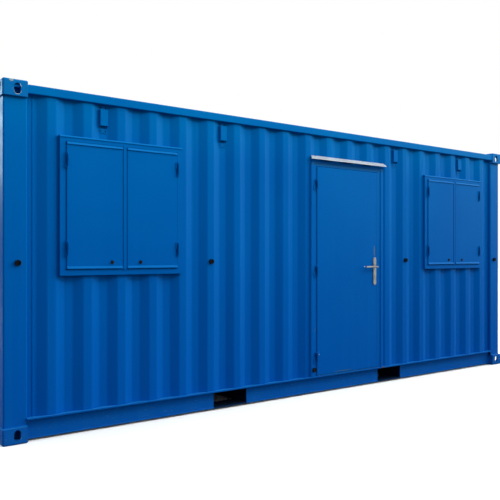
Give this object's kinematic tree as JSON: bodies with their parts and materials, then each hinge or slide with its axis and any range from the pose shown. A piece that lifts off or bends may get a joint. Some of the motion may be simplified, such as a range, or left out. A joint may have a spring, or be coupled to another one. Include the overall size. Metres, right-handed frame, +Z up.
{
  "type": "shipping container cabin",
  "caption": "Shipping container site cabin: corrugated steel box on corner castings with fork pockets, a hinged door and shuttered windows.",
  "frame": {"origin": "middle of the four bottom corner apertures, at the level of the castings' undersides", "axes": "+X along the length to the right as seen from the door side, +Y from the door side to the back, +Z up"},
  "size_m": [6.058, 2.479, 2.591],
  "materials": {
    "blue_paint": "gloss",
    "white_board": "matt",
    "floor_ply": "satin",
    "bare_aluminium": "satin",
    "black_rubber": "matt",
    "black_knob": "gloss",
    "white_plastic": "satin",
    "clear_glass": "clear",
    "brushed_steel": "brushed"
  },
  "bodies": {
    "cabin": {"corner_fittings_bottom": "blue_paint", "corner_fittings_top": "blue_paint", "corner_posts": "blue_paint", "bottom_side_rails": "blue_paint", "bottom_end_rails": "blue_paint", "top_side_rails": "blue_paint", "top_end_rails": "blue_paint", "fork_pockets": "blue_paint", "floor_crossmembers": "blue_paint", "floor": "floor_ply", "front_wall_left": "blue_paint", "front_wall_over_door": "blue_paint", "front_wall_right": "blue_paint", "back_wall": "blue_paint", "left_end_wall": "blue_paint", "right_end_wall": "blue_paint", "roof": "blue_paint", "front_lining_left": "white_board", "front_lining_over_door": "white_board", "front_lining_right": "white_board", "back_lining": "white_board", "end_linings": "white_board", "ceiling": "white_board", "door_frame": "blue_paint", "door_threshold": "blue_paint", "rain_drip": "bare_aluminium", "door_stop": "black_rubber", "door_hinge_pins": "blue_paint", "window_surrounds": "blue_paint", "window_frames": "white_plastic", "window_glass": "clear_glass", "shutter_hinge_pins": "blue_paint", "shutter_buffers": "black_rubber", "wall_vents": "blue_paint"},
    "door": {"door_leaf": "blue_paint", "door_plates": "brushed_steel"},
    "lever": {"door_lever": "brushed_steel"},
    "left_window_left_shutter": {"left_window_left_shutter": "blue_paint", "left_window_left_knob": "black_knob"},
    "left_window_right_shutter": {"left_window_right_shutter": "blue_paint", "left_window_right_knob": "black_knob"},
    "right_window_left_shutter": {"right_window_left_shutter": "blue_paint", "right_window_left_knob": "black_knob"},
    "right_window_right_shutter": {"right_window_right_shutter": "blue_paint", "right_window_right_knob": "black_knob"}
  },
  "joints": [
    {"name": "door_hinge", "type": "hinge", "parent": "cabin", "child": "door", "pos_m": [-0.059, -1.219, 0], "axis": [0, 0, -1], "range_deg": [0, 175]},
    {"name": "lever_turn", "type": "hinge", "parent": "door", "child": "lever", "pos_m": [0.756, -1.209, 1.224], "axis": [0, -1, 0], "range_deg": [0, 40], "stiffness_Nm_per_rad": 2, "springref_deg": -34.38},
    {"name": "left_window_left_hinge", "type": "hinge", "parent": "cabin", "child": "left_window_left_shutter", "pos_m": [-2.564, -1.227, 0], "axis": [0, 0, -1], "range_deg": [0, 180]},
    {"name": "left_window_right_hinge", "type": "hinge", "parent": "cabin", "child": "left_window_right_shutter", "pos_m": [-1.616, -1.227, 0], "axis": [0, 0, 1], "range_deg": [0, 180]},
    {"name": "right_window_left_hinge", "type": "hinge", "parent": "cabin", "child": "right_window_left_shutter", "pos_m": [1.616, -1.227, 0], "axis": [0, 0, -1], "range_deg": [0, 180]},
    {"name": "right_window_right_hinge", "type": "hinge", "parent": "cabin", "child": "right_window_right_shutter", "pos_m": [2.564, -1.227, 0], "axis": [0, 0, 1], "range_deg": [0, 180]}
  ]
}
